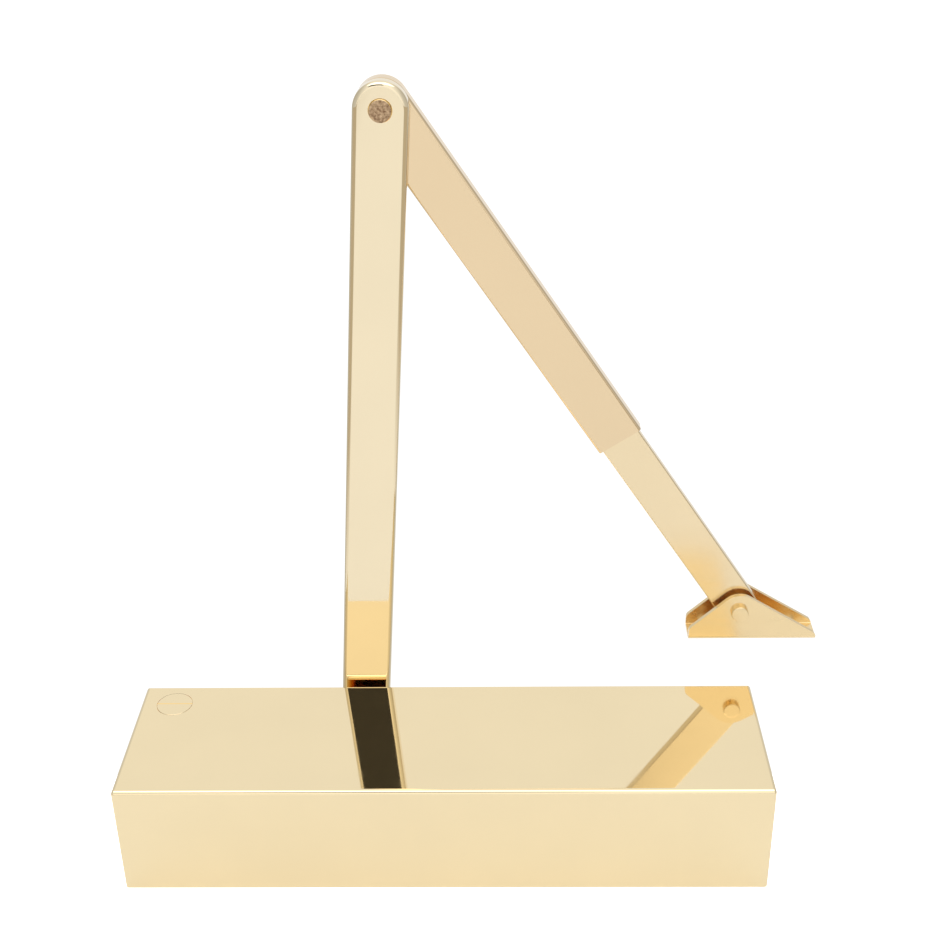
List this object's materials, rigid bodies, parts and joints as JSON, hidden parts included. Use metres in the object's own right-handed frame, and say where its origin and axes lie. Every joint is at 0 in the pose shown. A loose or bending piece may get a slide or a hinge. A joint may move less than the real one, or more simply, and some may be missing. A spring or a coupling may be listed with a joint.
{
  "type": "door closer",
  "caption": "Overhead door closer: rack and pinion body under a plain box cover, with a flat main arm, an adjustable channel forearm and a small hinged shoe.",
  "frame": {"origin": "centre of the body's mounting face, midway along and across it", "axes": "+X along the body to the right, +Y along the spindle towards the arm, +Z away from the door"},
  "size_m": [0.2731, 0.0964, 0.2873],
  "materials": {
    "polished_brass": "mirror-polished, lacquered",
    "bare_rivet_end": "dull, as cut",
    "cast_aluminium": "sand-cast and shot-blasted",
    "machined_aluminium": "turned",
    "ground_steel": "ground",
    "zinc_plated_steel": "bright zinc",
    "blackened_steel": "oiled black",
    "spring_steel": "oil-tempered",
    "cast_iron": "machined",
    "sintered_bronze": "oiled",
    "nitrile_rubber": "matt"
  },
  "bodies": {
    "body": {"housing": "cast_aluminium", "end_cap_left": "machined_aluminium", "end_cap_right": "machined_aluminium", "end_cap_o_rings": "nitrile_rubber", "bearing_bushes": "sintered_bronze", "bearing_cap_upper": "zinc_plated_steel", "bearing_cap_lower": "zinc_plated_steel", "spindle_seal": "nitrile_rubber", "closing_spring": "spring_steel", "cover_clips": "spring_steel", "clip_screws": "zinc_plated_steel"},
    "closing_valve": {"closing_valve": "zinc_plated_steel", "closing_valve_o_ring": "nitrile_rubber"},
    "latch_valve": {"latch_valve": "zinc_plated_steel", "latch_valve_o_ring": "nitrile_rubber"},
    "cover": {"cover": "polished_brass"},
    "cover_screw": {"cover_screw": "polished_brass"},
    "piston": {"piston": "cast_iron", "check_valve_ball": "ground_steel", "check_valve_clip": "spring_steel"},
    "spring_seat": {"spring_seat": "ground_steel"},
    "power_screw": {"power_screw": "blackened_steel", "power_screw_clip": "spring_steel"},
    "main_arm": {"spindle": "ground_steel", "main_arm": "polished_brass", "arm_washer": "polished_brass", "arm_screw": "polished_brass", "elbow_rivet": "bare_rivet_end", "elbow_washers": "sintered_bronze"},
    "forearm_sleeve": {"forearm_sleeve": "polished_brass", "clamp_block": "polished_brass"},
    "clamp_screw": {"clamp_screw": "polished_brass"},
    "slider_bar": {"slider_bar": "polished_brass"},
    "shoe": {"shoe_bracket": "polished_brass", "shoe_pin": "polished_brass", "shoe_washers": "sintered_bronze"}
  },
  "joints": [
    {"name": "cover_lift", "type": "slide", "parent": "body", "child": "cover", "axis": [0, 0, 1], "range_m": [0, 0.06]},
    {"name": "cover_screw_turn", "type": "hinge", "parent": "cover", "child": "cover_screw", "pos_m": [-0.1089, 0.02055, 0.047], "axis": [0, 0, 1], "range_deg": [0, 1080]},
    {"name": "arm_swing", "type": "hinge", "parent": "body", "child": "main_arm", "pos_m": [-0.0348, 0, 0.0235], "axis": [0, 1, 0], "range_deg": [0, 180], "stiffness_Nm_per_rad": 4, "springref_deg": -171.89},
    {"name": "piston_slide", "type": "slide", "parent": "body", "child": "piston", "axis": [1, 0, 0], "range_m": [0, 0.033], "deforming": ["closing_spring"]},
    {"name": "elbow_fold", "type": "hinge", "parent": "main_arm", "child": "forearm_sleeve", "pos_m": [-0.01754, 0.04375, 0.27766], "axis": [0, 1, 0], "range_deg": [-137, 24]},
    {"name": "forearm_length", "type": "slide", "parent": "forearm_sleeve", "child": "slider_bar", "axis": [0.5509, 0, -0.8346], "range_m": [-0.03, 0.03]},
    {"name": "clamp_screw_turn", "type": "hinge", "parent": "forearm_sleeve", "child": "clamp_screw", "pos_m": [0.06262, 0.0574, 0.15623], "axis": [0, 1, 0], "range_deg": [-360, 0]},
    {"name": "shoe_pivot", "type": "hinge", "parent": "slider_bar", "child": "shoe", "pos_m": [0.11876, 0.0482, 0.07119], "axis": [0, 1, 0], "range_deg": [-40, 60]},
    {"name": "closing_valve_turn", "type": "hinge", "parent": "body", "child": "closing_valve", "pos_m": [-0.098, -0.0152, 0.0387], "axis": [-1, 0, 0], "range_deg": [-360, 360]},
    {"name": "latch_valve_turn", "type": "hinge", "parent": "body", "child": "latch_valve", "pos_m": [-0.098, -0.0152, 0.0083], "axis": [-1, 0, 0], "range_deg": [-360, 360]},
    {"name": "power_screw_turn", "type": "hinge", "parent": "body", "child": "power_screw", "pos_m": [0.104, 0, 0.0235], "axis": [-1, 0, 0], "range_deg": [0, 1441]},
    {"name": "spring_seat_slide", "type": "slide", "parent": "body", "child": "spring_seat", "axis": [-1, 0, 0], "range_m": [0, 0.008], "deforming": ["closing_spring"]}
  ],
  "couplings": [
    {"joint": "piston_slide", "follows": "arm_swing", "m_per_rad": 0.0105},
    {"joint": "power_screw_turn", "follows": "spring_seat_slide", "rad_per_m": 3141.6}
  ]
}
